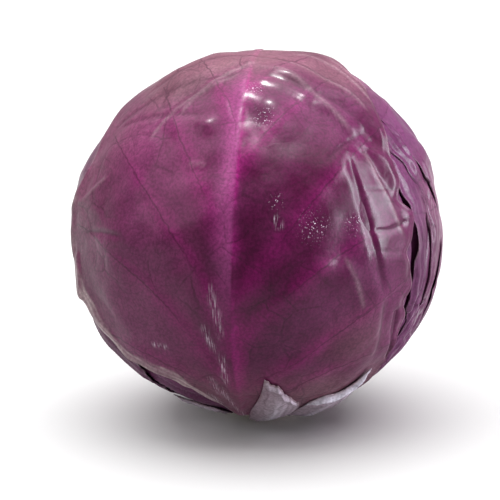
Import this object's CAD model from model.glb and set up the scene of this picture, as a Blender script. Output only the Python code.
# %% [markdown]
# # A head of red cabbage
# A cabbage head is a bud that never opens: leaves grow on one short stem and wrap tightly round each other.
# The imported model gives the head's size and its pieces. Here each piece gets its real surface: raised ribs,
# the blistered skin between the veins, curled margins, torn leaf bases and a waxy bloom.

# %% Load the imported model
import math

import bmesh
import bpy
import numpy as np
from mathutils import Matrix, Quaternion, Vector


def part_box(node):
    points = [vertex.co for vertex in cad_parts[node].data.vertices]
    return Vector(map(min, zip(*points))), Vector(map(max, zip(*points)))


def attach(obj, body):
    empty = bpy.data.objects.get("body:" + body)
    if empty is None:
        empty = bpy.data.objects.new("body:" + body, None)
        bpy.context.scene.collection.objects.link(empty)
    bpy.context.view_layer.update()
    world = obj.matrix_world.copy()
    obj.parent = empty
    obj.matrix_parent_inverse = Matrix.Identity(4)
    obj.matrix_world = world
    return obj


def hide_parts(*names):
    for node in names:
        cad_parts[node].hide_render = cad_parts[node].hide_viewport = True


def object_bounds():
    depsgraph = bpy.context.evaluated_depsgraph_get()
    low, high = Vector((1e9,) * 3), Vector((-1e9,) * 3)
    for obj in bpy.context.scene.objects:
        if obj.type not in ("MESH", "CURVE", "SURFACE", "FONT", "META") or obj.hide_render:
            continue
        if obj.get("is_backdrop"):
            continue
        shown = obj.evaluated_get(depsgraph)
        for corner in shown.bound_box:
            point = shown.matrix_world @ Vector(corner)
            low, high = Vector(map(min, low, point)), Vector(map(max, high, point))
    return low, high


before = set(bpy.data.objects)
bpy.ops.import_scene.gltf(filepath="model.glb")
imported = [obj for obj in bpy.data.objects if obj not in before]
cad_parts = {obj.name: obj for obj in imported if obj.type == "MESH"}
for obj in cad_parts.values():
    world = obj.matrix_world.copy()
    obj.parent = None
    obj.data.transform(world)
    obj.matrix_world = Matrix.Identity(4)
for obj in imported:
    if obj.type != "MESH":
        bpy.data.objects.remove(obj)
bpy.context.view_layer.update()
MM = 0.001
print("nodes in the frame:", sorted(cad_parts))

# %% [markdown]
# ## Directions instead of places
# Everything on the head is a little more or less than one radius away from its middle. So a point is
# described by a direction from the middle and a distance along it. Lengths here are in millimetres and
# angles in degrees, as a grower would write them down; the azimuth is 0 at the front and grows to the right.

# %% The head's own measures
HEAD_RADIUS = 75.0
CENTRE_HEIGHT = 73.5
LEAF_GAP = 0.5
BLADE_THICKNESS = 1.0
ARC_MM = HEAD_RADIUS * math.pi / 180
centre = np.array([0.0, 0.0, CENTRE_HEIGHT])
stem_low, stem_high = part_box("stem_stump")
STEM_RADIUS = (stem_high[0] - stem_low[0]) / 2 / MM
STEM_HEIGHT = stem_high[2] / MM
print("stem radius and height:", round(STEM_RADIUS, 2), round(STEM_HEIGHT, 2))

# %% Shares, bells and directions
def smoothstep(value, low, high):
    share = np.clip((value - low) / (high - low), 0, 1)
    return share * share * (3 - 2 * share)


def bell(value, width):
    return np.exp(-((value / width) ** 2))


def direction(polar, azimuth):
    ring = np.sin(np.radians(polar))
    turn = np.radians(azimuth)
    return np.stack([ring * np.sin(turn), -ring * np.cos(turn), np.cos(np.radians(polar))], axis=-1)


def polar_of(d):
    return np.degrees(np.arccos(np.clip(d[..., 2], -1, 1)))


def azimuth_of(d):
    return np.degrees(np.arctan2(d[..., 0], -d[..., 1]))


def signed_turn(angle):
    return (angle + 180) % 360 - 180


print("a direction to the front:", direction(90.0, 0.0).round(2))

# %% [markdown]
# ## Gentle unevenness
# Nothing that grew is perfectly round. A sum of a few slow waves in seeded random directions gives a smooth,
# repeatable unevenness that can be read at any direction, which a noise texture in a material can't do.

# %% Slow waves
WAVE_COUNT = 14


def waves(d, pitch, seed):
    """Smooth unevenness between about -1 and 1, whose bumps are about pitch millimetres apart."""
    random = np.random.default_rng(seed)
    total = np.zeros(d.shape[:-1])
    for _ in range(WAVE_COUNT):
        way = random.normal(size=3)
        way *= 2 * math.pi * HEAD_RADIUS / pitch * random.uniform(0.6, 1.3) / np.linalg.norm(way)
        total += np.sin(d @ way + random.uniform(0, 2 * math.pi))
    return total / math.sqrt(WAVE_COUNT)


print("unevenness at the crown:", round(float(waves(direction(0.0, 0.0), 36, 1)), 2))

# %% [markdown]
# ## The wrapper leaves
# Leaves could be sculpted one by one, or cloth could be draped on a ball. Here each leaf is a height over the
# ball instead, so it lies exactly on the leaf below and stays thin. It is laid flat around its own middle,
# like a map of one side of a globe: u runs to the right and v up along the midrib, both in degrees. The list
# runs from the innermost leaf to the outermost, which is the front one.

# %% Leaf outlines
LEAF_MIDDLE_POLAR = 84
LEAF_BASE_POLAR = 166
OUTLINE_POWER = 2.4
FRONT_HEEL = {"turn": -151, "depth": 0.40, "width": 32}
FRONT_SHOULDER = {"turn": 52, "depth": 0.12, "width": 20}
FRONT_NIBBLES = [
    {"turn": 70, "depth": 0.055, "width": 4},
    {"turn": 79, "depth": -0.040, "width": 4},
    {"turn": 90, "depth": 0.018, "width": 3},
    {"turn": 99, "depth": -0.012, "width": 4},
    {"turn": 108, "depth": 0.022, "width": 3},
    {"turn": -100, "depth": 0.020, "width": 5},
    {"turn": -115, "depth": 0.040, "width": 10},
    {"turn": -84, "depth": -0.020, "width": 4},
]


def leaf(name, azimuth, left, right, up, ruffle, seed, grid, slot, drawn_in=(), lip=1.2, sunk=False):
    """One leaf. left, right and up say how far it reaches from its middle, in degrees."""
    return {
        "name": name, "azimuth": azimuth, "left": left, "right": right, "up": up, "ruffle": ruffle,
        "seed": seed, "grid": grid, "slot": slot, "drawn_in": drawn_in, "lip": lip, "sunk": sunk,
    }


LEAVES = [
    leaf("leaf_left_inner", -72, 84, 82, 104, 1.2, 11, 110, "inner_leaf", sunk=True),
    leaf("leaf_back_inner", 165, 84, 80, 98, 1.2, 12, 110, "inner_leaf", sunk=True),
    leaf("leaf_right_under", 95, 53, 84, 106, 1.6, 13, 170, "side_leaf", sunk=True),
    leaf("leaf_left_under", -118, 74, 66, 96, 1.6, 14, 180, "side_leaf", lip=1.3),
    leaf("leaf_right_middle", 112, 54.5, 80, 100, 2.0, 15, 180, "side_leaf", lip=0.9),
    leaf("leaf_right_outer", 124, 56, 62, 94, 2.2, 16, 190, "side_leaf", lip=0.25),
    leaf("leaf_back", 155, 76, 76, 92, 1.8, 17, 190, "side_leaf", lip=0.35),
    leaf("leaf_front", -8, 68, 61.5, 112, 1.4, 18, 220, "front_leaf",
         [FRONT_HEEL, FRONT_SHOULDER, *FRONT_NIBBLES], lip=2.3),
]
FRONT_LEAF = LEAVES[-1]
print("from the innermost leaf out:", [one["name"] for one in LEAVES])

# %% [markdown]
# The map is an equal-distance one: a step of one degree from the middle is one degree on the head too, in any
# direction. It tears only on the far side of the head, where no leaf reaches.

# %% A leaf's own map
def leaf_axes(one):
    middle = direction(LEAF_MIDDLE_POLAR, one["azimuth"])
    turn = math.radians(one["azimuth"])
    right = np.array([math.cos(turn), math.sin(turn), 0.0])
    return middle, right, np.cross(middle, right)


def on_leaf(one, d):
    """Where directions lie on a leaf's own map: u, v and the distance from its middle, in degrees."""
    middle, right, up = leaf_axes(one)
    angle = np.arccos(np.clip(d @ middle, -1, 1))
    stretch = angle / np.maximum(np.sin(angle), 1e-6)
    return np.degrees(stretch * (d @ right)), np.degrees(stretch * (d @ up)), np.degrees(angle)


def from_leaf(one, u, v):
    """The direction of a place on a leaf's map."""
    middle, right, up = leaf_axes(one)
    reach = np.maximum(np.hypot(u, v), 1e-9)
    angle = np.radians(reach)[..., None]
    sideways = (u / reach)[..., None] * right + (v / reach)[..., None] * up
    return np.cos(angle) * middle + np.sin(angle) * sideways


print("the front leaf's middle on its map:", on_leaf(FRONT_LEAF, direction(84.0, -8.0))[:2])

# %% [markdown]
# A superellipse with a different reach to each side gives the egg shape. Single spots are then drawn in or
# let out, and waves of three lengths make the margin run unevenly, as a growing edge does.

# %% Where the margin runs
def outline_reach(one, turn):
    """How far the blade reaches from its middle, in degrees, at an angle from its tip, in degrees."""
    radians = np.radians(turn)
    side = np.where(turn < 0, one["left"], one["right"])
    along = np.where(np.abs(turn) > 90, LEAF_BASE_POLAR - LEAF_MIDDLE_POLAR, one["up"])
    across = np.abs(np.sin(radians) / side) ** OUTLINE_POWER
    lengthwise = np.abs(np.cos(radians) / along) ** OUTLINE_POWER
    kept = np.ones(np.shape(turn))
    for spot in one["drawn_in"]:
        kept = kept - spot["depth"] * bell(signed_turn(turn - spot["turn"]), spot["width"])
    wave = one["ruffle"] * np.sin(7 * radians + math.radians(one["azimuth"])) * np.sin(radians) ** 2
    frill = 0.5 * np.sin(23 * radians + one["seed"]) + 0.35 * np.sin(41 * radians + 3 * one["seed"])
    if "right" in one["name"]:
        frill += 0.9 * np.sin(12 * radians + 2 * one["seed"])
    frill *= one["ruffle"] * np.sin(radians) ** 2 * (0.6 + 0.4 * np.sin(5 * radians))
    return (across + lengthwise) ** (-1 / OUTLINE_POWER) * kept + (wave + frill) / ARC_MM


def inside_leaf(one, d):
    """How far inside a leaf's margin directions lie, in millimetres. Outside it is negative."""
    u, v, angle = on_leaf(one, d)
    return ARC_MM * (outline_reach(one, np.degrees(np.arctan2(u, v))) - angle)


print("the front leaf reaches up by", round(float(outline_reach(FRONT_LEAF, np.array(0.0))), 1), "degrees")

# %% [markdown]
# ## Leaves that lie on leaves
# Each leaf takes its inner face from what lies below it, plus a small gap. What lies below is the head's ball
# less all the layers, and then one layer more for every leaf that covers that direction. Past the margin of a
# leaf the layer fades out over a few millimetres, which is how the next leaf drapes over the edge below it.

# %% The ball, its flat spots and its crevice
BASE_FLATTENING = 2.6
BASE_FLAT_FROM = 135
SHOULDER_FLAT = {"polar": 38, "azimuth": -110, "depth": 3.0, "width": 26}
HEEL_FLAT = {"polar": 150, "azimuth": -58, "depth": 2.0, "width": 16}
CLEFT = {"azimuth": 56.5, "width": 2.2, "depth": 2.2, "from": 38, "to": 146}


def pressed(d, spot):
    aim = direction(spot["polar"], spot["azimuth"])
    apart = np.degrees(np.arccos(np.clip(d @ aim, -1, 1)))
    return spot["depth"] * bell(apart, spot["width"])


def head_radius(d):
    under = smoothstep(polar_of(d), BASE_FLAT_FROM, 180)
    return HEAD_RADIUS - BASE_FLATTENING * under - pressed(d, SHOULDER_FLAT) - pressed(d, HEEL_FLAT)


def cleft_depth(d):
    """The deep crevice to the right of the front leaf, which only the sunken leaves follow."""
    polar = polar_of(d)
    along = smoothstep(polar, CLEFT["from"], CLEFT["from"] + 20)
    along *= 1 - smoothstep(polar, CLEFT["to"] - 20, CLEFT["to"])
    wander = 1.6 * np.sin(np.radians(polar) * 5)
    aside = signed_turn(azimuth_of(d) - CLEFT["azimuth"] - wander)
    return CLEFT["depth"] * along * bell(aside, CLEFT["width"])


for polar in (0.0, 90.0, 180.0):
    print("radius at", polar, "degrees from the crown:", round(float(head_radius(direction(polar, 0.0))), 1))

# %% The layers on the ball
LAYER_BLEND = 14.0
RIB_RISE = 1.7
RIB_HALF_WIDTH = 9.0
DRAPE = 12.0
FRONT_DRAPE = 20.0
SHORT_DRAPE = 8.0
STANDING_LEAVES = ("leaf_right_middle", "leaf_right_outer")
COVER_WIDTH = 7


def leaf_thickness(one, d):
    u, v, _ = on_leaf(one, d)
    to_base = smoothstep(-v, -one["up"], LEAF_BASE_POLAR - LEAF_MIDDLE_POLAR)
    return BLADE_THICKNESS + RIB_RISE * to_base * bell(u * ARC_MM, RIB_HALF_WIDTH)


def inner_radius(d):
    layers = np.zeros(d.shape[:-1])
    for one in LEAVES:
        share = smoothstep(inside_leaf(one, d), -LAYER_BLEND, LAYER_BLEND)
        layers += share * (leaf_thickness(one, d) + LEAF_GAP)
    radius = head_radius(d) - layers
    down = np.maximum(-d[..., 2], 0.1)
    to_stem = np.where(d[..., 2] < -0.1, (CENTRE_HEIGHT - STEM_HEIGHT - LEAF_GAP) / down, radius)
    return np.minimum(radius, to_stem)


def level_under(order, d):
    """The radius that the leaf at this place in the order lies on."""
    level = inner_radius(d)
    for one in LEAVES[:order]:
        drape = DRAPE
        if order == len(LEAVES) - 1:
            drape = SHORT_DRAPE if one["name"] in STANDING_LEAVES else FRONT_DRAPE
        level += smoothstep(inside_leaf(one, d), -drape, 0) * (leaf_thickness(one, d) + LEAF_GAP)
    return level


def bare(order, d):
    """1 where a leaf lies open to the air, 0 where a later leaf covers it."""
    open_air = np.ones(d.shape[:-1])
    for one in LEAVES[order + 1:]:
        open_air *= 1 - smoothstep(inside_leaf(one, d), 0, COVER_WIDTH)
    return open_air


for order, one in enumerate(LEAVES):
    print(one["name"], "lies on radius", round(float(level_under(order, leaf_axes(one)[0])), 1))

# %% [markdown]
# ## Veins
# The midrib runs straight up the leaf. The side veins leave it in turn and bend outwards, so each is a curve
# with three control places on the leaf's map: where it starts on the midrib, the bend, and where it fades.
# Curves in the mesh itself, not only in the colour, let light fall on the veins from any side.

# %% Vein curves
FRONT_VEINS = [
    ((0, 40), (-9, 58), (-26, 80)),
    ((0, 3), (-10, 26), (-34, 60)),
    ((0, -24), (-16, 15), (-52, 40)),
    ((0, -46), (-20, 0), (-64, 5)),
    ((0, -58), (-18, -28), (-58, -32)),
    ((0, 52), (9, 66), (26, 82)),
    ((0, 28), (8, 40), (30, 64)),
    ((0, -16), (20, 18), (54, 50)),
    ((0, -28), (22, 2), (60, 13)),
    ((0, -50), (24, -28), (62, -8)),
    ((0, -62), (20, -36), (60, -36)),
]
VEIN_STEPS = 14


def usual_veins(one):
    """Side veins for a leaf with no special ones: they leave the midrib in turn, left and right."""
    random = np.random.default_rng(one["seed"])
    veins = []
    for side, reach in ((-1, one["left"]), (1, one["right"])):
        for start in (-62, -48, -30, -10, 12, 38):
            foot = start + random.uniform(-4, 4)
            rise = random.uniform(26, 34)
            bend = (side * 0.34 * reach, foot + rise)
            tip = (side * 0.92 * reach, foot + rise + random.uniform(6, 22) + 0.1 * start)
            veins.append(((0, foot), bend, tip))
    return veins


FRONT_LEAF["veins"] = FRONT_VEINS
print("side veins on the front leaf:", len(FRONT_VEINS), "and on the back one:", len(usual_veins(LEAVES[-2])))

# %% Distance to a curve
def vein_path(vein):
    share = np.linspace(0, 1, VEIN_STEPS + 1)[:, None]
    foot, bend, tip = (np.array(place, float) for place in vein)
    return (1 - share) ** 2 * foot + 2 * share * (1 - share) * bend + share ** 2 * tip


def distance_to_path(u, v, path):
    """Millimetres to a path, how far along it from 0 to 1, and the distance with a sign for its side."""
    best = np.full(u.shape, 1e9)
    along = np.zeros(u.shape)
    across = np.zeros(u.shape)
    place = np.stack([u, v], axis=-1)
    for step in range(len(path) - 1):
        a, b = path[step], path[step + 1]
        offset = place - a
        share = np.clip((offset @ (b - a)) / ((b - a) @ (b - a)), 0, 1)
        apart = np.linalg.norm(offset - share[..., None] * (b - a), axis=-1)
        turned = offset[..., 0] * (b - a)[1] - offset[..., 1] * (b - a)[0]
        nearer = apart < best
        best = np.where(nearer, apart, best)
        along = np.where(nearer, (step + share) / (len(path) - 1), along)
        across = np.where(nearer, np.sign(turned) * apart, across)
    return best * ARC_MM, along, across * ARC_MM


print("points on the first vein:", len(vein_path(FRONT_VEINS[0])))

# %% Midrib and side veins
def midrib_marks(one, side, v):
    """The midrib stands highest just left of its middle and drops steeply on its right."""
    to_base = smoothstep(-v, -one["up"], 70)
    slope = np.where(side < 0, bell(side, 3.0 + 4.0 * to_base), bell(side, 0.9 + 1.2 * to_base))
    height = (0.45 + 0.85 * to_base) * slope
    upper = smoothstep(v, -24, 2) * (1 - 0.6 * smoothstep(v, 40, 70))
    lower = 1 - smoothstep(v, -22, -2)
    left_band = bell(np.minimum(side + 0.8, 0), 5.5) * (1 - smoothstep(side, -0.3, 0.7))
    right_band = smoothstep(side, -0.4, 0.6) * (1 - smoothstep(side, 3.5, 8.5))
    thin_band = smoothstep(side, -0.4, 0.5) * (1 - smoothstep(side, 1.4, 3.0)) * smoothstep(v, 8, 28)
    return height, left_band * upper, np.maximum(0.9 * right_band * lower, thin_band)


def vein_marks(one, d, u, v):
    """Height of the veins, their broad glow of colour, and where their thin dark line runs."""
    drift = 0.25 * waves(d, 60, one["seed"] + 40)
    side = (u + drift) * ARC_MM
    height, band, glow = midrib_marks(one, side, v)
    nearest = np.full(u.shape, 1e9)
    beside = np.full(u.shape, 20.0)
    far = np.zeros(u.shape)
    for vein in one.get("veins") or usual_veins(one):
        apart, along, across = distance_to_path(u + drift, v + drift, vein_path(vein))
        fade = 1 - along
        height = np.maximum(height, (0.08 + 0.40 * fade ** 1.5) * bell(apart, 1.2 + 2.4 * fade))
        colour = (0.05 + 0.68 * fade ** 0.8) * bell(apart, 2.4 + 3.4 * fade) * smoothstep(fade, 0, 0.3)
        glow = np.maximum(glow, colour)
        closer = apart < nearest
        nearest = np.where(closer, apart, nearest)
        beside = np.where(closer, across, beside)
        far = np.where(closer, along, far)
    return {"height": height, "band": band, "glow": glow, "beside": beside, "far": far}


near_foot = (np.array([0.0]), np.array([-40.0]))
rib = vein_marks(FRONT_LEAF, from_leaf(FRONT_LEAF, *near_foot), *near_foot)
print("the midrib near its foot stands out by", rib["height"].round(2), "mm")

# %% [markdown]
# ## Blistered fields
# Blade tissue grows faster than the veins that hold it, so it bulges inside every field of the net. Seeds are
# scattered on the map, and the border halfway between the two nearest seeds is where the blade stays down.

# %% Blistered fields between the veins
FIELD_PITCH = 15.0
MAP_SPAN = 125
BULGE_HEIGHT = 0.62
BULGE_FLANK = 4.5


def field_distance(u, v, pitch, seed, stretch=1.3):
    """Distance in millimetres from the border between the two nearest of many scattered seeds."""
    random = np.random.default_rng(seed)
    count = int(2 * MAP_SPAN / pitch)
    columns, rows = np.meshgrid(np.arange(count), np.arange(count))
    columns = columns + random.uniform(-0.42, 0.42, columns.shape)
    rows = rows + random.uniform(-0.42, 0.42, rows.shape)
    seeds = np.stack([columns.ravel() * pitch - MAP_SPAN, rows.ravel() * pitch - MAP_SPAN], axis=-1)
    place = np.stack([u, v / stretch], axis=-1).reshape(-1, 2)
    cell = np.floor((place + MAP_SPAN) / pitch).astype(int)
    first = np.full(len(place), 1e9)
    second = np.full(len(place), 1e9)
    for over in (-1, 0, 1, 2):
        for up in (-1, 0, 1, 2):
            column = np.clip(cell[:, 0] + over, 0, count - 1)
            row = np.clip(cell[:, 1] + up, 0, count - 1)
            apart = np.linalg.norm(place - seeds[row * count + column], axis=-1)
            second = np.minimum(second, np.maximum(first, apart))
            first = np.minimum(first, apart)
    return ((second - first) / 2 * ARC_MM).reshape(u.shape)


def blisters(one, d, u, v):
    """How far the blade bulges between the veins, in millimetres."""
    bend_u = u + 3.0 * waves(d, 34, one["seed"] + 1)
    bend_v = v + 3.0 * waves(d, 34, one["seed"] + 2)
    field = field_distance(bend_u, bend_v, FIELD_PITCH, one["seed"] + 3)
    patchy = np.clip(0.55 + 0.6 * waves(d, 60, one["seed"] + 5), 0.1, 1)
    quiet = 0.35 + 0.65 * smoothstep(np.hypot(u, v), 25, 60)
    return BULGE_HEIGHT * patchy * quiet * (1 - np.exp(-field / BULGE_FLANK))


print("fields are about", round(FIELD_PITCH * ARC_MM), "mm apart")

# %% [markdown]
# ## Curled margins
# A margin that lies open dries a little and curls away from the head, so it catches light on its edge and
# throws a shadow beside it. On the right side several margins stand beside each other like pages.

# %% Margins that curl, roll up or lie pressed down
MARGIN_PRESS = 0.35
CURL_WIDTH = 3.6
PRESS_WIDTH = 5.0
ROLL_WIDTH = 4.4
PLEAT_PITCH = 5.2


def margin_lift(one, inside, turn):
    """How far an open margin curls out, in millimetres."""
    radians = np.radians(turn)
    wander = np.sin(5 * radians + one["seed"]) + 0.8 * np.sin(11 * radians + 2 * one["seed"])
    wander += 0.5 * np.sin(23 * radians + 3 * one["seed"])
    wander = 0.22 + 0.78 * smoothstep(wander, -1.4, 1.6)
    tight = "right" in one["name"] or one["name"] == "leaf_back"
    if tight:
        wander = smoothstep(wander, 0.45, 1.0)
    sideways = smoothstep(np.abs(np.sin(radians)), 0.35, 0.8)
    if one is FRONT_LEAF:
        rolled = smoothstep(-turn, 66, 84) * (1 - smoothstep(-turn, 150, 170))
        wander = np.maximum(0.06, rolled * (0.75 + 0.25 * np.sin(9 * radians)))
        wander = np.maximum(wander, 0.45 * smoothstep(turn, 112, 128))
    lifted = one["lip"] * wander * (0.35 + 0.65 * sideways) * np.exp(-np.maximum(inside, 0) / CURL_WIDTH)
    if tight:
        lifted -= MARGIN_PRESS * np.exp(-np.maximum(inside, 0) / PRESS_WIDTH)
    return lifted


def rolled_band(inside, turn):
    """Where the front leaf's lower left margin has rolled up and dried."""
    ends = smoothstep(-turn, 86, 104) * (1 - smoothstep(-turn, 172, 179))
    wide = ROLL_WIDTH + 0.8 * np.sin(np.radians(9 * turn)) + 0.5 * np.sin(np.radians(23 * turn))
    streaks = 0.72 + 0.28 * np.sin(2 * math.pi * inside / 2.2 + 2 * np.sin(np.radians(9 * turn)))
    return ends * streaks * (1 - smoothstep(inside, wide - 0.8, wide + 0.6))


def pleats(one, inside, turn, d):
    """Long shallow folds that run beside the margin of a leaf that stands open like a page."""
    near = np.exp(-np.maximum(inside, 0) / 11) * (1.0 if "right" in one["name"] else 0.0)
    left_side = smoothstep(-turn, 35, 60) * (1 - smoothstep(-turn, 130, 155))
    phase = inside / PLEAT_PITCH * 2 * math.pi + 1.8 * waves(d, 40, one["seed"] + 6)
    return 0.45 * near * left_side * np.sin(phase)


curl = margin_lift(FRONT_LEAF, np.array([0.0, 4.0, 8.0]), np.array([-110.0] * 3))
print("curl of the lower left margin, 0, 4 and 8 mm in:", curl.round(2))

# %% [markdown]
# ## Creases and bulges of the front leaf
# Where a tight leaf is pushed from inside it creases, and other heads leave scrapes in its wax. A crease is a
# curve on the leaf's map again. Its height is in millimetres, less than zero for a groove, and left and right
# say how steeply it falls off on its two sides.

# %% Creases, bulges, scrapes and speckles
FRONT_CREASES = [
    {"path": ((41, 38), (49, 24), (58, 4)), "height": 0.22, "left": 0.9, "right": 0.9},
    {"path": ((35, 36), (43, 11), (50, -16)), "height": -0.75, "left": 1.3, "right": 2.6},
    {"path": ((44, 9), (52, 8), (59, 12)), "height": -0.5, "left": 1.2, "right": 1.6},
    {"path": ((38, 22), (50, 24), (61, 22)), "height": -0.18, "left": 0.8, "right": 1.2},
    {"path": ((27, 30), (34, 38), (44, 44)), "height": -0.25, "left": 1.0, "right": 1.6},
    {"path": ((34, 2), (40, -8), (42, -18)), "height": 0.3, "left": 2.6, "right": 5.0},
    {"path": ((50, -15), (51, -28), (48, -40)), "height": -0.4, "left": 3.0, "right": 1.6},
    {"path": ((-66, 13), (-57, 18), (-47, 25)), "height": 0.5, "left": 1.2, "right": 2.6},
    {"path": ((-60, 3), (-52, 6), (-34, 5)), "height": -0.3, "left": 1.0, "right": 1.8},
    {"path": ((-64, -4), (-60, -14), (-58, -26)), "height": 0.9, "left": 1.0, "right": 2.6},
    {"path": ((-57, 41), (-36, 62), (1, 62)), "height": -0.35, "left": 1.2, "right": 2.6},
    {"path": ((13, 80), (40, 83), (50, 53)), "height": 0.45, "left": 3.2, "right": 0.9},
    {"path": ((12, 70), (27, 73), (47, 47)), "height": 0.45, "left": 3.2, "right": 0.9},
    {"path": ((2, 66), (20, 66), (40, 38)), "height": 0.35, "left": 3.0, "right": 0.9},
    {"path": ((-22, 44), (-15, 61), (5, 70)), "height": 0.40, "left": 3.0, "right": 0.9},
    {"path": ((-31, 35), (-29, 50), (1, 64)), "height": 0.35, "left": 2.6, "right": 0.9},
    {"path": ((-15, 28.5), (-12, 28.9), (-9, 28.2)), "height": 0.55, "left": 1.0, "right": 1.0},
    {"path": ((1, 62), (26, 62), (45, 42)), "height": -0.35, "left": 1.2, "right": 2.6},
    {"path": ((-52, 43), (-34, 49), (-9, 45)), "height": -0.5, "left": 0.9, "right": 1.6},
    {"path": ((-47, 56), (-4, 96), (40, 58)), "height": -0.6, "left": 1.0, "right": 2.0},
    {"path": ((-56, -20), (-46, -40), (-12, -50)), "height": 0.9, "left": 1.8, "right": 2.6},
    {"path": ((24, 88), (50, 78), (56, 44)), "height": 0.4, "left": 3.0, "right": 0.9},
    {"path": ((-44, 62), (-10, 92), (20, 84)), "height": 0.35, "left": 3.0, "right": 0.9},
]
FRONT_BULGES = [
    {"at": (9, 49), "radius": 6.5, "height": 0.9},
    {"at": (-11.5, 41.5), "radius": 3.4, "height": 1.25},
    {"at": (20, -14), "radius": 14, "height": 0.6},
    {"at": (-26, 4), "radius": 14, "height": 0.6},
]
SCUFF_STROKES = [
    ((-6, -6), (-5, -12), (-4, -20)),
    ((-4, -12), (-3.4, -18), (-3.4, -26)),
    ((-9, -19), (-7.5, -25), (-5.2, -31)),
    ((-3.6, -28), (-3.2, -36), (-3.0, -46)),
    ((-9, -40), (-7.6, -45), (-6, -52)),
    ((-6, -44), (-3.5, -52), (-1.5, -62)),
    ((-28, -30), (-24, -31), (-21, -30)),
    ((12, 14), (14, 12), (14.5, 9)),
    ((-12, -50), (-8, -56), (-4, -64)),
    ((-2, -56), (0, -62), (1, -68)),
    ((-20, -49), (-14, -54), (-8, -60)),
    ((2, -60), (4, -66), (5, -72)),
]
SPECKLE_SPOTS = [((24.5, 10.9), 4.4), ((38, 11.4), 3.2), ((8, 45), 3.6), ((13, 18), 2.0), ((4, 55), 3.0)]
print("creases:", len(FRONT_CREASES), "bulges:", len(FRONT_BULGES), "scrapes:", len(SCUFF_STROKES))

# %% What they do to the front leaf
def front_shape(u, v):
    """Creases and bulges that only the front leaf has."""
    height = np.zeros(u.shape)
    line = np.zeros(u.shape)
    crest = np.zeros(u.shape)
    for crease in FRONT_CREASES:
        apart, along, across = distance_to_path(u, v, vein_path(crease["path"]))
        ends = smoothstep(along, 0, 0.15) * (1 - smoothstep(along, 0.85, 1))
        width = np.where(across < 0, crease["left"], crease["right"])
        height += crease["height"] * ends * bell(apart, width)
        if crease["height"] < 0:
            line = np.maximum(line, 0.8 * ends * bell(apart, 0.8))
        else:
            crest = np.maximum(crest, 0.45 * ends * bell(apart, 0.9))
    for bulge in FRONT_BULGES:
        apart = np.hypot(u - bulge["at"][0], v - bulge["at"][1]) * ARC_MM
        height += bulge["height"] * bell(apart, bulge["radius"])
    return height, line, crest


def scuffs(u, v):
    """Pale scrapes in the wax beside the midrib, where other heads rubbed against this one."""
    mark = np.zeros(u.shape)
    for stroke in SCUFF_STROKES:
        apart, along, _ = distance_to_path(u, v, vein_path(stroke))
        ends = smoothstep(along, 0, 0.3) * (1 - smoothstep(along, 0.7, 1))
        mark = np.maximum(mark, ends * bell(apart, 1.3))
    return mark


def speckles(u, v):
    mark = np.zeros(u.shape)
    for (right, up), radius in SPECKLE_SPOTS:
        mark = np.maximum(mark, bell(np.hypot(u - right, v - up) * ARC_MM, radius))
    return mark


ridge = front_shape(np.array([-50.0]), np.array([10.0]))[0]
print("a place on the left stands out by", ridge.round(2), "mm")

# %% [markdown]
# ## Folds on the right and below
# Several leaves end on the right side and run down to the stem together. Their folds cross from leaf to leaf,
# so they are given on the head itself, each as three pairs of azimuth and angle from the crown.

# %% Side folds
SIDE_FOLDS = [
    {"path": ((69, 78), (66, 94), (58, 112)), "height": -1.7, "width": 1.1},
    {"path": ((72, 105), (59, 111), (56, 127)), "height": -1.3, "width": 1.1},
    {"path": ((49, 104), (50, 112), (55, 125)), "height": -1.2, "width": 1.2},
    {"path": ((80, 118), (66, 122), (58, 129)), "height": -1.1, "width": 1.0},
    {"path": ((86, 96), (74, 112), (62, 126)), "height": -1.0, "width": 1.2},
    {"path": ((78, 58), (69, 76), (71, 104)), "height": 0.7, "width": 0.9},
    {"path": ((66, 46), (69, 56), (66, 68)), "height": 0.8, "width": 1.6},
    {"path": ((63, 118), (60, 124), (57, 132)), "height": 0.9, "width": 1.2},
    {"path": ((72, 50), (84, 58), (92, 74)), "height": 1.3, "width": 5.0},
    {"path": ((-74, 112), (-56, 130), (-22, 142)), "height": -1.2, "width": 1.1},
    {"path": ((-84, 114), (-64, 136), (-34, 149)), "height": -1.2, "width": 1.2},
    {"path": ((-80, 112), (-60, 133), (-28, 145)), "height": 0.8, "width": 1.2},
    {"path": ((-92, 74), (-84, 90), (-86, 108)), "height": -1.1, "width": 1.4},
    {"path": ((-78, 64), (-80, 80), (-74, 96)), "height": 0.9, "width": 1.8},
]


def side_folds(d):
    """Folds of the leaves on the right, which run down together towards the stem, in head angles."""
    polar, azimuth = polar_of(d), azimuth_of(d)
    height = np.zeros(polar.shape)
    line = np.zeros(polar.shape)
    for fold in SIDE_FOLDS:
        middle = fold["path"][1][1]
        narrow = math.sin(math.radians(middle))
        path = [(side * narrow, down) for side, down in fold["path"]]
        apart, along, _ = distance_to_path(azimuth * narrow, polar, vein_path(path))
        ends = smoothstep(along, 0, 0.12) * (1 - smoothstep(along, 0.9, 1))
        height += fold["height"] * ends * bell(apart, fold["width"])
        if fold["height"] < 0:
            line = np.maximum(line, 0.9 * ends * bell(apart, 0.9))
    return height, line


print("side folds:", len(SIDE_FOLDS))

# %% [markdown]
# ## Where the wax is thick
# The wax on a leaf makes it dusty and pale where it hasn't been rubbed. That happens over areas, not along
# lines, so each finish gets a soft share between 0 and 1 at every point, stored on the mesh for the material.

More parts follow.
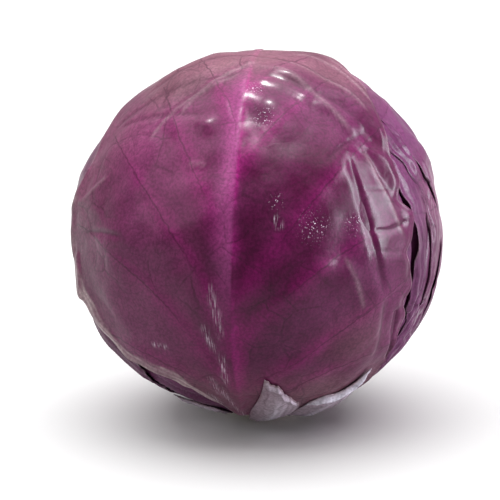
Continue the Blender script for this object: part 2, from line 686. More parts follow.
# %% Bloom, the pale half and the deep part
def bloom(d, front):
    """Where the wax is thick: over the crown, down the left side and round the foot of the midrib."""
    polar, azimuth = polar_of(d), azimuth_of(d)
    left = smoothstep(-azimuth, 20, 60) * (1 - smoothstep(-azimuth, 120, 170))
    right = smoothstep(azimuth, 35, 65) * (1 - smoothstep(azimuth, 120, 170))
    behind = smoothstep(np.abs(azimuth), 90, 130)
    limit = 24 + 18 * left + 14 * right + 18 * behind
    thick = 1 - smoothstep(polar, limit - 14, limit + 10)
    edge = smoothstep(azimuth, 62, 72) * (1 - smoothstep(azimuth, 85, 105))
    thick = np.maximum(thick, 0.6 * edge * smoothstep(polar, 55, 75) * (1 - smoothstep(polar, 100, 120)))
    thick = np.maximum(thick, 0.45 * smoothstep(-azimuth, 42, 78) * (1 - smoothstep(-azimuth, 110, 140)))
    if front:
        thick = np.maximum(thick, smoothstep(polar, 116, 136))
        patch = np.degrees(np.arccos(np.clip(d @ direction(114, 34), -1, 1)))
        thick = np.maximum(thick, 0.55 * bell(patch, 10))
    return thick


def pale_half(u, v):
    """The front leaf's blade is paler and pinker to the left of its midrib than to the right."""
    return smoothstep(-u, 1.5, 14) * (1 - smoothstep(v, 44, 58)) * smoothstep(v, -58, -30)


def deep_part(u, v):
    """The darkest flesh of the front leaf lies just to the right of its midrib."""
    apart = np.hypot((u - 16) / 20, (v - 8) / 30)
    return 0.75 * bell(apart, 1.0) * smoothstep(u, 0.5, 3.5)


for polar in (0.0, 80.0):
    print("bloom at", polar, "degrees from the crown:", round(float(bloom(direction(polar, 0.0), True)), 2))

# %% [markdown]
# ## Torn bases
# The grower pulls the loose outer leaves off, and each leaves the thick root of its rib on the stem, torn to
# a ragged edge. Each is a short slab that runs up from the stem and clings to the wrapper leaves, which lie
# smooth under it. Here only their outlines are set, because the leaves below them have to know.

# %% Outlines of the torn bases
TORN_THICKNESS = 1.1


def torn(name, azimuth, half_width, reach, slant, seed, ridge):
    """One torn base. It reaches up to this angle from the crown, and slant tilts its broken edge."""
    return {
        "name": name, "azimuth": azimuth, "half_width": half_width, "reach": reach, "slant": slant,
        "seed": seed, "ridge": ridge,
    }


TORN_BASES = [
    torn("torn_base_front", 10, 9.5, 131, 7, 31, 0.2),
    torn("torn_base_right", 38, 11.5, 134, -7, 32, 1),
    torn("torn_base_left", -40, 12, 149, 2, 33, 0.4),
    torn("torn_base_back", 175, 15, 140, 0, 34, 0.4),
]


def under_torn_bases(d):
    """1 under a torn base, 0 a few millimetres away from it."""
    polar = polar_of(d)
    covered = np.zeros(polar.shape)
    for base in TORN_BASES:
        turned = np.radians(signed_turn(azimuth_of(d) - base["azimuth"]))
        offset = HEAD_RADIUS * np.sin(np.radians(polar)) * turned
        sideways = base["half_width"] - np.abs(offset)
        slanted = base["slant"] * np.clip(offset / base["half_width"], -1, 1)
        endwise = ARC_MM * (polar - base["reach"] - slanted)
        covered = np.maximum(covered, smoothstep(np.minimum(sideways, endwise), -5, 0))
    return covered


print("torn bases:", [base["name"] for base in TORN_BASES])

# %% [markdown]
# ## From a flat slab to a leaf
# A leaf starts as a flat square grid, which an operator thickens into a closed slab. Every point of the slab
# is then moved: the square is rounded to a disc, the disc is stretched to the outline on the leaf's map, and
# the map is laid on the ball. The top of the slab becomes the outer face and the bottom the inner one.

# %% Slab to leaf
SLAB = 0.1


def slab(segments):
    """A flat closed slab as a bmesh, its points' places on the unit square, and which are on top."""
    bm = bmesh.new()
    bmesh.ops.create_grid(bm, x_segments=segments, y_segments=segments, size=1.0)
    bmesh.ops.solidify(bm, geom=bm.faces[:], thickness=SLAB)
    bm.verts.ensure_lookup_table()
    places = np.array([point.co[:] for point in bm.verts])
    top = places[:, 2] > places[:, 2].mean()
    return bm, places[:, 0], places[:, 1], top


def finish_mesh(bm, points, name, marks, leaf_map=None):
    """Moves the slab's points, points its faces outwards and stores what the finishes need to know."""
    for point, place in zip(bm.verts, points * MM):
        point.co = place
    bmesh.ops.recalc_face_normals(bm, faces=bm.faces[:])
    mesh = bpy.data.meshes.new(name)
    bm.to_mesh(mesh)
    bm.free()
    for mark, values in marks.items():
        stored = mesh.attributes.new(mark, "FLOAT", "POINT")
        stored.data.foreach_set("value", values.astype(np.float32))
    if leaf_map is not None:
        stored = mesh.attributes.new("leaf_map", "FLOAT_VECTOR", "POINT")
        stored.data.foreach_set("vector", leaf_map.astype(np.float32).ravel())
    mesh.polygons.foreach_set("use_smooth", [True] * len(mesh.polygons))
    piece = bpy.data.objects.new(name, mesh)
    bpy.context.collection.objects.link(piece)
    return piece


def round_to_disc(x, y):
    return x * np.sqrt(1 - y * y / 2), y * np.sqrt(1 - x * x / 2)


trial, across, along, on_top = slab(4)
print("points of a small slab:", len(across), "of which on top:", int(on_top.sum()))
trial.free()

# %% [markdown]
# ## The relief of a leaf
# Ribs, blisters, folds and unevenness are heights that simply add up. The face that lies on the next leaf
# keeps only a little of them, and where another leaf or a torn base covers the blade it lies smooth.

# %% Relief of one leaf
BROAD_WAVE = {"height": 0.45, "pitch": 36}
SMALL_WAVE = {"height": 0.16, "pitch": 15}


def leaf_relief(one, d, u, v, inside, turn):
    """Height of everything on a leaf, its veins, where dark creases run and where pale crests do."""
    veins = vein_marks(one, d, u, v)
    relief = veins["height"] + blisters(one, d, u, v) + pleats(one, inside, turn, d)
    uneven = BROAD_WAVE["height"] * waves(d, BROAD_WAVE["pitch"], one["seed"] + 7)
    uneven += SMALL_WAVE["height"] * waves(d, SMALL_WAVE["pitch"], one["seed"] + 8)
    relief += uneven
    crease_line = np.zeros(len(u))
    crest = np.zeros(len(u))
    if one is FRONT_LEAF:
        shaped, crease_line, crest = front_shape(u, v)
        relief += shaped
    folded, fold_line = side_folds(d)
    relief += folded
    relief *= 1 - 0.9 * under_torn_bases(d)
    return relief, veins, np.maximum(crease_line, fold_line), crest


def leaf_marks(one, d, u, v, inside, turn, veins, crease_line, curled):
    """What the finish has to know at every point of a leaf."""
    marks = {
        "vein": veins["glow"],
        "band": veins["band"],
        "beside_vein": np.clip(veins["beside"], -20, 20),
        "along_vein": veins["far"],
        "crease": crease_line,
        "lip": curled,
        "margin": np.minimum(inside, 30),
        "crown": smoothstep(d[:, 2], 0.45, 1.0),
        "bloom": bloom(d, one is FRONT_LEAF),
    }
    if one is FRONT_LEAF:
        marks["pale_half"] = pale_half(u, v)
        marks["deep"] = deep_part(u, v)
        marks["rolled"] = rolled_band(inside, turn)
        marks["scuff"] = scuffs(u, v)
        marks["speckle"] = speckles(u, v)
    return marks


print("a mark that a leaf doesn't have reads as 0 in its material")

# %% Build the leaves
EDGE_TAPER = 4.0
EDGE_SHARE = 0.28
INNER_FACE_SHARE = 0.48
FRONT_PALE_EDGE = 3.6
PALE_EDGE = 1.4


def build_leaf(order):
    one = LEAVES[order]
    bm, x, y, top = slab(one["grid"])
    across, along = round_to_disc(x, y)
    turn = np.degrees(np.arctan2(across, along))
    reach = outline_reach(one, turn)
    share = np.minimum(np.hypot(across, along), 1)
    u = share * reach * np.sin(np.radians(turn))
    v = share * reach * np.cos(np.radians(turn))
    d = from_leaf(one, u, v)
    inside = ARC_MM * reach * (1 - share)
    open_air = bare(order, d)
    relief, veins, crease_line, crest = leaf_relief(one, d, u, v, inside, turn)
    lift = margin_lift(one, inside, turn) * open_air
    taper = EDGE_SHARE + (1 - EDGE_SHARE) * smoothstep(inside, 0, EDGE_TAPER)

    inner = level_under(order, d) + LEAF_GAP + lift
    if one["sunk"]:
        inner -= cleft_depth(d)
    outer = inner + leaf_thickness(one, d) * taper + relief * open_air
    inner += INNER_FACE_SHARE * np.maximum(relief, 0) * open_air
    front = one is FRONT_LEAF
    pale_width = FRONT_PALE_EDGE if front else PALE_EDGE
    curled = np.exp(-inside / pale_width) * np.clip(0.2 + lift / 1.4, 0, 1)
    if front:
        curled *= 1 - 0.85 * smoothstep(turn, 0, 20)
        curled = np.maximum(curled, crest)
    marks = leaf_marks(one, d, u, v, inside, turn, veins, crease_line, curled)
    leaf_map = np.stack([u * ARC_MM, v * ARC_MM, np.full(len(u), one["seed"])], axis=-1)
    radius = np.where(top, outer, inner)
    return finish_mesh(bm, centre + d * radius[:, None], one["name"] + "_blade", marks, leaf_map)


leaf_pieces = {}
for order, one in enumerate(LEAVES):
    piece = build_leaf(order)
    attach(piece, "root")
    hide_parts(one["name"])
    leaf_pieces[one["name"]] = piece
    print(one["name"], "points:", len(piece.data.vertices))

# %% [markdown]
# ## The inner head
# Under the wrappers lie dozens of tighter leaves. Building them all would cost much and show nothing, because
# only slivers of them can be seen at the bottom of the clefts. So one closed ball does for them. It starts as
# an icosphere, which has no poles, and is pushed in where the crevice beside the front leaf runs.

# %% Inner head
def build_inner_head():
    bm = bmesh.new()
    bmesh.ops.create_icosphere(bm, subdivisions=6, radius=1.0)
    bm.verts.ensure_lookup_table()
    d = np.array([point.co[:] for point in bm.verts])
    d /= np.linalg.norm(d, axis=1)[:, None]
    radius = inner_radius(d) - cleft_depth(d) + 0.2 * waves(d, 30, 5) - 0.2
    marks = {
        "vein": 0.4 * bell(waves(d, 50, 6), 0.25),
        "margin": np.full(len(d), 30.0),
    }
    return finish_mesh(bm, centre + d * radius[:, None], "inner_head_ball", marks, 80 * d)


inner_head = build_inner_head()
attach(inner_head, "root")
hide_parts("inner_head")
print("inner head, points:", len(inner_head.data.vertices))

# %% [markdown]
# ## The torn bases themselves
# They come from the same slab as the leaves, but laid straight on the head, round it and up from the stem. A
# rib thickens the foot, the upper end is ragged, and a broken end can have a raised ridge and a groove.

# %% Build the torn bases
TORN_GRID = 70


def build_torn_base(base):
    bm, x, y, top = slab(TORN_GRID)
    random = np.random.default_rng(base["seed"])
    start, shift = random.uniform(0, 6, 2)
    calm = 1 - 0.7 * base["ridge"]
    rag = 1.5 * np.sin(3 * x + start) + calm * (0.8 * np.sin(9 * x + shift) + 0.3 * np.sin(25 * x + start))
    end = base["reach"] + base["slant"] * x + rag / ARC_MM
    share = (y + 1) / 2
    polar = LEAF_BASE_POLAR + (end - LEAF_BASE_POLAR) * share
    ring = np.maximum(np.sin(np.radians(polar)), 0.2)
    width = base["half_width"] * (0.92 + 0.08 * np.sin(5 * share + start))
    width *= 0.55 + 0.45 * smoothstep(share, 0, 0.4)
    offset = x * width + 0.4 * np.sin(9 * share + shift) * np.abs(x)
    azimuth = base["azimuth"] + np.degrees(offset / (HEAD_RADIUS * ring))
    d = direction(polar, azimuth)
    edge = np.minimum(width * (1 - np.abs(x)), HEAD_RADIUS * np.radians(polar - end))
    rib = 1.3 * bell(offset, 4.0) * (1 - 0.8 * share)
    broken = np.maximum(HEAD_RADIUS * np.radians(polar - end), 0)
    ridge = base["ridge"] * bell(broken - 2.3, 1.6)
    groove = base["ridge"] * bell(broken - 6.2, 1.5) * smoothstep(1 - np.abs(x), 0.1, 0.4)
    rib += 1.3 * ridge - 0.9 * groove
    flutes = 0.18 * waves(d, 12, base["seed"])
    flutes += 0.12 * calm * np.sin(offset * 1.9 + 1.5 * waves(d, 30, base["seed"]))
    curl = 0.35 * np.exp(-np.maximum(edge, 0) / 2.0) * smoothstep(share, 0.3, 1)
    inner = level_under(len(LEAVES), d) + 0.35 + curl
    taper = 0.25 + 0.75 * smoothstep(edge, 0, 3.0)
    outer = inner + (TORN_THICKNESS + rib + flutes) * taper
    marks = {
        "vein": np.maximum(bell(offset, 3.0) * (1 - share), ridge),
        "crease": 0.95 * groove,
        "margin": np.minimum(edge, 30),
    }
    radius = np.where(top, outer, inner)
    leaf_map = np.stack([offset, polar * ARC_MM, np.full(len(x), base["seed"])], axis=-1)
    return finish_mesh(bm, centre + d * radius[:, None], base["name"] + "_flap", marks, leaf_map)


torn_pieces = []
for base in TORN_BASES:
    piece = build_torn_base(base)
    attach(piece, "root")
    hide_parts(base["name"])
    torn_pieces.append(piece)
print("points of each torn base:", [len(piece.data.vertices) for piece in torn_pieces])

# %% [markdown]
# ## The cut stem
# The stem is cut straight through with a knife, so its face is flat, but fibres and a ring of sap channels
# still show. A plain cylinder would have one big face at each end. This one is pulled up from a circle,
# rounded with a bevel and inset in rings, so that marks can be stored on its face. It is as tall as packed.

# %% Cut stem
KNIFE_ROUNDING = 0.8
RING_WIDTH = 1.6


def build_stem():
    bm = bmesh.new()
    radius = STEM_RADIUS - KNIFE_ROUNDING
    bmesh.ops.create_circle(bm, cap_ends=True, cap_tris=False, segments=96, radius=radius)
    raised = bmesh.ops.extrude_face_region(bm, geom=bm.faces[:])
    upper = [item for item in raised["geom"] if isinstance(item, bmesh.types.BMVert)]
    bmesh.ops.translate(bm, verts=upper, vec=(0, 0, STEM_HEIGHT))
    rounded = [edge for edge in bm.edges if len(edge.link_faces) == 2 and edge.calc_face_angle(0) > 1]
    bmesh.ops.bevel(bm, geom=rounded, offset=KNIFE_ROUNDING, offset_type="OFFSET", segments=4,
                    profile=0.5, affect="EDGES", material=-1)
    bmesh.ops.recalc_face_normals(bm, faces=bm.faces[:])
    flats = [side for side in bm.faces if abs(side.normal.z) > 0.99 and side.calc_area() > 50]
    for _ in range(8):
        bmesh.ops.inset_region(bm, faces=flats, thickness=RING_WIDTH, use_even_offset=True)
        flats = [side for side in flats if side.is_valid]
    bmesh.ops.triangulate(bm, faces=[side for side in bm.faces if len(side.verts) > 4])
    places = np.array([point.co[:] for point in bm.verts])
    reach = np.hypot(places[:, 0], places[:, 1])
    turn = np.arctan2(places[:, 1], places[:, 0])
    swell = 1 + 0.03 * np.sin(5 * turn + 1) + 0.015 * np.sin(13 * turn)
    places[:, 0] *= swell
    places[:, 1] *= swell
    marks = {
        "vein": bell(reach - 0.72 * STEM_RADIUS, 1.2),
        "lip": smoothstep(reach, 0.8 * STEM_RADIUS, STEM_RADIUS),
    }
    return finish_mesh(bm, places, "stem_cut", marks)


stem = build_stem()
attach(stem, "root")
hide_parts("stem_stump")
print("cut stem, points:", len(stem.data.vertices))

# %% [markdown]
# ## Finishes
# Red cabbage skin is a thin clear wax over purple flesh. The colour is richest where sap runs, along the
# ribs, darker and duller between them, and the wax turns it dusty where it is thick. The marks stored on each
# mesh say where that is. A material is a tree of nodes, so a few short helpers make each kind of node once.

# %% Node helpers: a material, marks, noise and ramps
NOISE_ROUGHNESS = 0.55


def new_material(name):
    material = bpy.data.materials.new(name)
    material.use_nodes = True
    tree = material.node_tree
    tree.nodes.clear()
    output = tree.nodes.new("ShaderNodeOutputMaterial")
    skin = tree.nodes.new("ShaderNodeBsdfPrincipled")
    tree.links.new(skin.outputs["BSDF"], output.inputs["Surface"])
    return material, tree, skin


def own_place(tree):
    return tree.nodes.new("ShaderNodeTexCoord").outputs["Object"]


def stored(tree, name):
    node = tree.nodes.new("ShaderNodeAttribute")
    node.attribute_name = name
    return node.outputs["Fac"]


def noise(tree, place, scale, detail):
    node = tree.nodes.new("ShaderNodeTexNoise")
    node.inputs["Scale"].default_value = scale
    node.inputs["Detail"].default_value = detail
    node.inputs["Roughness"].default_value = NOISE_ROUGHNESS
    tree.links.new(place, node.inputs["Vector"])
    return node.outputs["Fac"]


def ramp(tree, value, low, high, from_value=0.0, to_value=1.0):
    node = tree.nodes.new("ShaderNodeMapRange")
    node.interpolation_type = "SMOOTHSTEP"
    node.inputs["From Min"].default_value = low
    node.inputs["From Max"].default_value = high
    node.inputs["To Min"].default_value = from_value
    node.inputs["To Max"].default_value = to_value
    tree.links.new(value, node.inputs["Value"])
    return node.outputs["Result"]


def maths(tree, operation, *values):
    node = tree.nodes.new("ShaderNodeMath")
    node.operation = operation
    for socket, value in zip(node.inputs, values):
        if isinstance(value, float):
            socket.default_value = value
        else:
            tree.links.new(value, socket)
    return node.outputs["Value"]


def times(tree, first, second):
    return maths(tree, "MULTIPLY", first, second)


def plus(tree, first, second):
    return maths(tree, "ADD", first, second)


def larger(tree, first, second):
    return maths(tree, "MAXIMUM", first, second)


print("a node tree has sockets, and every helper returns the socket to read next")

# %% Node helpers: colours, bumps and nets
def blend_colour(tree, share, below, above):
    node = tree.nodes.new("ShaderNodeMix")
    node.data_type = "RGBA"
    for socket, value in zip((node.inputs[0], node.inputs[6], node.inputs[7]), (share, below, above)):
        if isinstance(value, tuple):
            socket.default_value = (*value, 1.0)
        elif isinstance(value, float):
            socket.default_value = value
        else:
            tree.links.new(value, socket)
    return node.outputs[2]


def bump(tree, height, strength, distance, below=None):
    node = tree.nodes.new("ShaderNodeBump")
    node.inputs["Strength"].default_value = strength
    node.inputs["Distance"].default_value = distance
    tree.links.new(height, node.inputs["Height"])
    if below is not None:
        tree.links.new(below, node.inputs["Normal"])
    return node.outputs["Normal"]


def warped(tree, place, scale, amount):
    """A place pushed about by noise, so that straight borders in a pattern wander."""
    swirl = tree.nodes.new("ShaderNodeTexNoise")
    swirl.inputs["Scale"].default_value = scale
    swirl.inputs["Detail"].default_value = 2.0
    tree.links.new(place, swirl.inputs["Vector"])
    middle = tree.nodes.new("ShaderNodeVectorMath")
    middle.operation = "SUBTRACT"
    tree.links.new(swirl.outputs["Color"], middle.inputs[0])
    middle.inputs[1].default_value = (0.5, 0.5, 0.5)
    pushed = tree.nodes.new("ShaderNodeVectorMath")
    pushed.operation = "MULTIPLY_ADD"
    tree.links.new(middle.outputs["Vector"], pushed.inputs[0])
    pushed.inputs[1].default_value = (amount, amount, amount)
    tree.links.new(place, pushed.inputs[2])
    return pushed.outputs["Vector"]


def net(tree, place, pitch):
    """Distance to the border of the nearest field of a net, as a share of the net's pitch."""
    node = tree.nodes.new("ShaderNodeTexVoronoi")
    node.voronoi_dimensions = "3D"
    node.feature = "DISTANCE_TO_EDGE"
    node.inputs["Scale"].default_value = 1 / pitch
    node.inputs["Randomness"].default_value = 0.95
    tree.links.new(place, node.inputs["Vector"])
    return node.outputs["Distance"]


print("bump and net only change how light falls, so whatever should show in the outline is in the mesh")

# %% [markdown]
# ## Leaf skin
# The skin is built up like a painting: dark flesh, paler clouds, the pale half, the glow of sap along the
# veins, dusty wax, thin dark lines, and last the dry edges and scrapes. Each layer is a colour and a share
# that says where it goes: a stored mark, broken up by noise so that no edge is clean. A painted image could
# do the same, but marks and noise stay sharp close up and fit any leaf.

# %% Thin dark lines
COARSE_NET_MM = 17.0
FINE_NET_MM = 5.0


def leaf_lines(tree, place, leaf_map):
    """The far ends of the side veins, and two nets of finer veins between them."""
    wobble = ramp(tree, noise(tree, place, 260.0, 2.0), 0.2, 0.8, -0.5, 0.5)
    beside = maths(tree, "ABSOLUTE", plus(tree, stored(tree, "beside_vein"), wobble))
    vein = ramp(tree, beside, 0.12, 0.55, 1.0, 0.0)
    vein = times(tree, vein, ramp(tree, stored(tree, "along_vein"), 0.15, 0.5, 0.0, 0.9))
    bent = warped(tree, warped(tree, leaf_map, 0.05, 9.0), 0.3, 1.6)
    coarse = net(tree, bent, COARSE_NET_MM)
    fine = net(tree, bent, FINE_NET_MM)
    strong = ramp(tree, noise(tree, place, 45.0, 1.0), 0.4, 0.65, 0.08, 0.75)
    coarse_line = times(tree, ramp(tree, coarse, 0.006, 0.032, 1.0, 0.0), strong)
    patches = ramp(tree, noise(tree, place, 30.0, 2.0), 0.38, 0.62)
    fine_line = times(tree, ramp(tree, fine, 0.01, 0.07, 0.36, 0.0), patches)
    lines = larger(tree, larger(tree, coarse_line, fine_line), vein)
    return larger(tree, lines, stored(tree, "crease")), coarse, fine


print("net pitches in mm:", COARSE_NET_MM, FINE_NET_MM)

# %% Layers of colour
SCUFF_WHITE = (0.46, 0.37, 0.44)
DRIED_EDGE = (0.330, 0.245, 0.255)


def flesh_colour(tree, tones, clouds, blotches):
    """The flesh under the wax, with the sap that glows along the ribs."""
    colour = blend_colour(tree, ramp(tree, clouds, 0.30, 0.78), tones["dark"], tones["plum"])
    pale = times(tree, stored(tree, "pale_half"), ramp(tree, clouds, 0.25, 0.75, 0.45, 0.75))
    colour = blend_colour(tree, pale, colour, tones["mauve"])
    smear = times(tree, ramp(tree, blotches, 0.4, 0.7), 0.30)
    colour = blend_colour(tree, smear, colour, tones["plum"])
    colour = blend_colour(tree, stored(tree, "deep"), colour, tones["dark"])
    glow = times(tree, stored(tree, "vein"), ramp(tree, stored(tree, "deep"), 0.0, 1.0, 1.0, 0.45))
    glow = times(tree, glow, ramp(tree, blotches, 0.25, 0.7, 0.6, 1.0))
    colour = blend_colour(tree, glow, colour, tones["sap"])
    return blend_colour(tree, stored(tree, "band"), colour, tones["rib"])


def waxed_colour(tree, colour, tones, lines, clouds, dust_share):
    """Dusty wax over the flesh, with the thin lines showing through it."""
    dust = times(tree, stored(tree, "bloom"), ramp(tree, clouds, 0.25, 0.75, 0.45, 1.0))
    colour = blend_colour(tree, times(tree, dust, dust_share), colour, tones["dusty"])
    depth = ramp(tree, stored(tree, "bloom"), 0.0, 0.5, 0.55, 0.7)
    return blend_colour(tree, times(tree, lines, depth), colour, tones["line"])


def edged_colour(tree, colour, tones, blotches, rim_mm):
    """Pale curled lips, a thin pale rim, and the dried margin that has rolled up."""
    lips = times(tree, stored(tree, "lip"), ramp(tree, blotches, 0.3, 0.7, 0.4, 0.9))
    rim = ramp(tree, stored(tree, "margin"), 0.2 * rim_mm, rim_mm, 1.0, 0.0)
    rim = times(tree, rim, ramp(tree, blotches, 0.4, 0.65, 0.05, 0.6))
    colour = blend_colour(tree, larger(tree, lips, rim), colour, tones["lip"])
    dried = times(tree, stored(tree, "rolled"), ramp(tree, blotches, 0.3, 0.6, 0.35, 0.95))
    return blend_colour(tree, dried, colour, DRIED_EDGE)


def scraped_colour(tree, colour, place, leaf_map):
    """Streaky scrapes and small flecks in the wax."""
    streaks = tree.nodes.new("ShaderNodeMapping")
    streaks.inputs["Scale"].default_value = (2.2, 0.16, 1.0)
    tree.links.new(leaf_map, streaks.inputs["Vector"])
    scratch = ramp(tree, noise(tree, streaks.outputs["Vector"], 1.0, 3.0), 0.46, 0.66, 0.0, 0.8)
    colour = blend_colour(tree, times(tree, scratch, stored(tree, "scuff")), colour, SCUFF_WHITE)
    flecks = ramp(tree, noise(tree, place, 1500.0, 1.0), 0.62, 0.70)
    flecks = times(tree, flecks, stored(tree, "speckle"))
    return blend_colour(tree, flecks, colour, SCUFF_WHITE)


def scaled(tree, colour, share):
    node = tree.nodes.new("ShaderNodeVectorMath")
    node.operation = "SCALE"
    tree.links.new(colour, node.inputs[0])
    tree.links.new(share, node.inputs["Scale"])
    return node.outputs["Vector"]


print("linear colour of a scrape:", SCUFF_WHITE)

# %% The whole leaf skin
WAX_SPECULAR = 0.09
WAX_COAT_ROUGHNESS = 0.21


def leaf_skin(name, tones, dust_share, roughness, wax, rim_mm=0.5):
    material, tree, skin = new_material(name)
    place = own_place(tree)
    attribute = tree.nodes.new("ShaderNodeAttribute")
    attribute.attribute_name = "leaf_map"
    leaf_map = attribute.outputs["Vector"]
    lines, coarse, fine = leaf_lines(tree, place, leaf_map)
    clouds = noise(tree, place, 32.0, 4.0)
    blotches = noise(tree, place, 110.0, 3.0)
    colour = flesh_colour(tree, tones, clouds, blotches)
    colour = waxed_colour(tree, colour, tones, lines, clouds, dust_share)
    colour = edged_colour(tree, colour, tones, blotches, rim_mm)
    colour = scraped_colour(tree, colour, place, leaf_map)
    shade = ramp(tree, noise(tree, place, 900.0, 2.0), 0.3, 0.7, 0.78, 1.16)
    tree.links.new(scaled(tree, colour, shade), skin.inputs["Base Color"])

    dull = ramp(tree, stored(tree, "crown"), 0.75, 0.95, 0.0, 0.2)
    even = ramp(tree, blotches, 0.3, 0.7, roughness - 0.05, roughness + 0.1)
    tree.links.new(plus(tree, even, dull), skin.inputs["Roughness"])
    relief = bump(tree, ramp(tree, coarse, 0.0, 0.16), 0.2, 0.0005)
    relief = bump(tree, ramp(tree, fine, 0.0, 0.25), 0.12, 0.0002, relief)
    relief = bump(tree, noise(tree, place, 420.0, 3.0), 0.12, 0.0003, relief)
    tree.links.new(relief, skin.inputs["Normal"])
    skin.inputs["Specular IOR Level"].default_value = WAX_SPECULAR
    skin.inputs["Coat Weight"].default_value = wax
    skin.inputs["Coat Roughness"].default_value = WAX_COAT_ROUGHNESS
    return material


print("coat roughness of the wax:", WAX_COAT_ROUGHNESS)

# %% Skin of the leaves and the inner head
FRONT_TONES = {
    "dark": (0.038, 0.0020, 0.018), "plum": (0.086, 0.012, 0.052), "sap": (0.168, 0.0040, 0.086),
    "rib": (0.190, 0.032, 0.120), "dusty": (0.132, 0.060, 0.076), "line": (0.022, 0.003, 0.012),
    "lip": (0.190, 0.130, 0.145), "mauve": (0.138, 0.026, 0.080),
}
SIDE_TONES = {
    "dark": (0.050, 0.0070, 0.034), "plum": (0.105, 0.030, 0.080), "sap": (0.140, 0.008, 0.080),
    "rib": (0.150, 0.035, 0.100), "dusty": (0.165, 0.078, 0.106), "line": (0.026, 0.003, 0.016),
    "lip": (0.150, 0.100, 0.122), "mauve": (0.105, 0.030, 0.080),
}
INNER_TONES = {
    "dark": (0.060, 0.010, 0.040), "plum": (0.110, 0.030, 0.080), "sap": (0.120, 0.014, 0.070),
    "rib": (0.120, 0.030, 0.090), "dusty": (0.150, 0.070, 0.110), "line": (0.024, 0.004, 0.016),
    "lip": (0.120, 0.060, 0.090), "mauve": (0.045, 0.008, 0.028),
}
front_skin = leaf_skin("front_leaf_skin", FRONT_TONES, 0.85, 0.34, 0.16)
side_skin = leaf_skin("side_leaf_skin", SIDE_TONES, 0.8, 0.36, 0.13)
inner_skin = leaf_skin("inner_leaf_skin", INNER_TONES, 0.4, 0.45, 0.05)
skins = {"front_leaf": front_skin, "side_leaf": side_skin, "inner_leaf": inner_skin}
for one in LEAVES:
    leaf_pieces[one["name"]].data.materials.append(skins[one["slot"]])
inner_head.data.materials.append(inner_skin)
print("nodes in the front leaf's skin:", len(front_skin.node_tree.nodes))

# %% [markdown]
# ## Torn flesh and cut stem
# Torn flesh has lost its wax and colour: the same skin in pale, greyish tones with a broad dark rim will do.
# The stem's cut face is creamy and fibrous, with a darker ring where the sap channels were cut.

# %% Torn flesh
TORN_TONES = {
    "dark": (0.170, 0.105, 0.140), "plum": (0.330, 0.270, 0.310), "sap": (0.520, 0.490, 0.560),
    "rib": (0.300, 0.210, 0.260), "dusty": (0.300, 0.200, 0.260), "line": (0.060, 0.020, 0.035),
    "lip": (0.100, 0.040, 0.045), "mauve": (0.300, 0.210, 0.260),
}
torn_skin = leaf_skin("torn_base_skin", TORN_TONES, 0.3, 0.45, 0.15, rim_mm=1.3)
for piece in torn_pieces:
    piece.data.materials.append(torn_skin)
print("nodes in the torn flesh:", len(torn_skin.node_tree.nodes))

# %% Cut stem skin
STEM_SHADED = (0.62, 0.52, 0.36)
STEM_CREAM = (0.78, 0.72, 0.55)
SAP_RING = (0.42, 0.30, 0.22)
STEM_SKIN = (0.45, 0.30, 0.36)
FIBRES = (0.40, 0.32, 0.22)


def stem_skin():
    material, tree, skin = new_material("cut_stem_skin")
    place = own_place(tree)
    fibres = noise(tree, place, 700.0, 3.0)
    patches = noise(tree, place, 90.0, 3.0)
    colour = blend_colour(tree, ramp(tree, patches, 0.3, 0.7), STEM_SHADED, STEM_CREAM)
    colour = blend_colour(tree, times(tree, stored(tree, "vein"), 0.6), colour, SAP_RING)
    colour = blend_colour(tree, times(tree, stored(tree, "lip"), 0.7), colour, STEM_SKIN)
    colour = blend_colour(tree, times(tree, ramp(tree, fibres, 0.5, 0.8), 0.4), colour, FIBRES)
    tree.links.new(colour, skin.inputs["Base Color"])
    tree.links.new(ramp(tree, fibres, 0.3, 0.7, 0.6, 0.85), skin.inputs["Roughness"])
    tree.links.new(bump(tree, fibres, 0.3, 0.0005), skin.inputs["Normal"])
    return material


stem.data.materials.append(stem_skin())
print("material of the stem:", stem.data.materials[0].name)

# %% [markdown]
# ## Camera
# A long lens from a little above keeps the head nearly free of perspective, as in a catalogue picture. An
# orthographic camera would be flatter still. The lens follows from the width that should fill the frame.

# %% Camera
FRAME_WIDTH_MM = 204.0
CAMERA_DISTANCE = 1.1
CAMERA_ELEVATION = 15
VIEW_OFFSET_MM = (-2.8, -10.0)
head_middle = Vector((0, 0, 0.0765))


def build_camera():
    tilt = math.radians(CAMERA_ELEVATION)
    back = Vector((0, -math.cos(tilt), math.sin(tilt)))
    up = Vector((0, math.sin(tilt), math.cos(tilt)))
    aim = head_middle + Vector((VIEW_OFFSET_MM[0] * MM, 0, 0)) + up * VIEW_OFFSET_MM[1] * MM
    data = bpy.data.cameras.new("view")
    data.sensor_width = 36
    data.lens = data.sensor_width * CAMERA_DISTANCE / (FRAME_WIDTH_MM * MM)
    data.clip_start = 0.01
    data.clip_end = 50
    camera = bpy.data.objects.new("view", data)
    camera.location = aim + back * CAMERA_DISTANCE
    camera.rotation_euler = (math.radians(90) - tilt, 0, 0)
    bpy.context.collection.objects.link(camera)
    bpy.context.scene.camera = camera


build_camera()
print("lens in mm:", round(bpy.context.scene.camera.data.lens))

# %% [markdown]
# ## Floor
# A white floor that is darker in front of the head, because a bright one there would shine back from the wax
# as a pale veil. It lies at the lowest point of the head, where the torn bases end.

# %% Floor
FLOOR_HALF = 6.0
FLOOR_WHITE = (0.93, 0.93, 0.93)
FLOOR_FRONT = (0.30, 0.30, 0.30)
DARK_UP_TO = -0.45
WHITE_FROM = -0.12


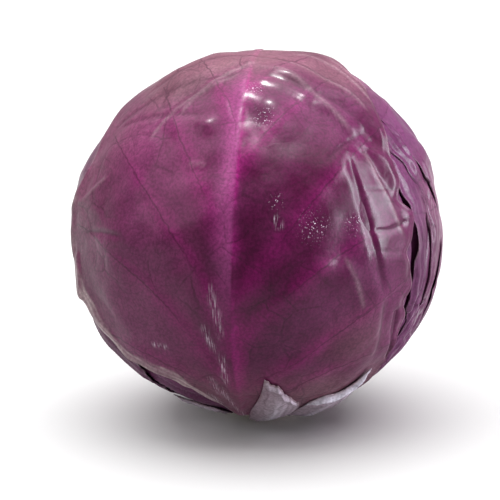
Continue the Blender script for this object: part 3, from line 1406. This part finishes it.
def build_floor():
    bm = bmesh.new()
    bmesh.ops.create_grid(bm, x_segments=2, y_segments=2, size=FLOOR_HALF)
    bmesh.ops.translate(bm, verts=bm.verts[:], vec=(0, 0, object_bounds()[0][2]))
    mesh = bpy.data.meshes.new("floor")
    bm.to_mesh(mesh)
    bm.free()
    floor = bpy.data.objects.new("floor", mesh)
    bpy.context.collection.objects.link(floor)
    material, tree, paint = new_material("floor_white")
    place = own_place(tree)
    split = tree.nodes.new("ShaderNodeSeparateXYZ")
    tree.links.new(place, split.inputs["Vector"])
    front = ramp(tree, split.outputs["Y"], DARK_UP_TO, WHITE_FROM)
    tree.links.new(blend_colour(tree, front, FLOOR_FRONT, FLOOR_WHITE), paint.inputs["Base Color"])
    paint.inputs["Roughness"].default_value = 0.9
    mesh.materials.append(material)
    floor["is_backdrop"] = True
    return floor


print("floor height in mm:", round(build_floor().data.vertices[0].co.z / MM, 2))

# %% [markdown]
# ## Light
# A broad sheet overhead makes the soft shadow on the floor. The small overhead box and the tall box on the
# right, with its bright core, are there for their reflections in the wax, so light linking keeps them off the
# floor, where each would draw a shadow of its own.

# %% Lamps
COOL_WHITE = (0.90, 0.92, 1.0)


def soft_box(name, toward, distance, size, power, roll=0, colour=(1, 1, 1)):
    data = bpy.data.lights.new(name, "AREA")
    data.shape = "RECTANGLE"
    data.size, data.size_y = size
    data.energy = power
    data.color = colour
    light = bpy.data.objects.new(name, data)
    way = Vector(toward).normalized()
    light.location = head_middle + way * distance
    turned = way.to_track_quat("Z", "Y") @ Quaternion((0, 0, 1), math.radians(roll))
    light.rotation_euler = turned.to_euler()
    bpy.context.collection.objects.link(light)
    return light


overhead_box = soft_box("overhead_box", (0.06, -0.06, 1.0), 1.0, (0.12, 0.07), 19)
soft_box("overhead_sheet", (0.0, 0.15, 1.0), 1.6, (3.0, 2.4), 54)
right_box = soft_box("right_box", (0.96, -0.14, 0.235), 0.9, (0.34, 0.8), 13, -27, COOL_WHITE)
right_core = soft_box("right_core", (0.95, -0.24, 0.22), 0.9, (0.05, 0.6), 5, -27, COOL_WHITE)
only_head = bpy.data.collections.new("lit_by_the_boxes")
for piece in (*leaf_pieces.values(), *torn_pieces, inner_head, stem):
    only_head.objects.link(piece)
for box in (overhead_box, right_box, right_core):
    box.light_linking.receiver_collection = only_head
soft_box("left_fill", (-0.85, -0.45, 0.6), 1.3, (0.9, 0.9), 4.5)

# %% [markdown]
# ## Surroundings
# The room is plain white, brighter behind the head than in front of it. At grazing angles the wax mirrors
# what stands behind it, which gives the head its grey shine near the outline.

# %% Surroundings
ROOM_FRONT = 0.20
ROOM_BACK = 0.42


def build_surroundings():
    """A white room that is brighter behind the head than in front of it."""
    world = bpy.data.worlds.new("studio")
    world.use_nodes = True
    tree = world.node_tree
    way = tree.nodes.new("ShaderNodeTexCoord").outputs["Generated"]
    split = tree.nodes.new("ShaderNodeSeparateXYZ")
    tree.links.new(way, split.inputs["Vector"])
    strength = ramp(tree, split.outputs["Y"], -0.7, 0.7, ROOM_FRONT, ROOM_BACK)
    background = tree.nodes["Background"]
    background.inputs["Color"].default_value = (1, 1, 1, 1)
    tree.links.new(strength, background.inputs["Strength"])
    bpy.context.scene.world = world


build_surroundings()
bpy.context.scene.view_settings.view_transform = "Standard"
print("brightness of the room, front and back:", ROOM_FRONT, ROOM_BACK)
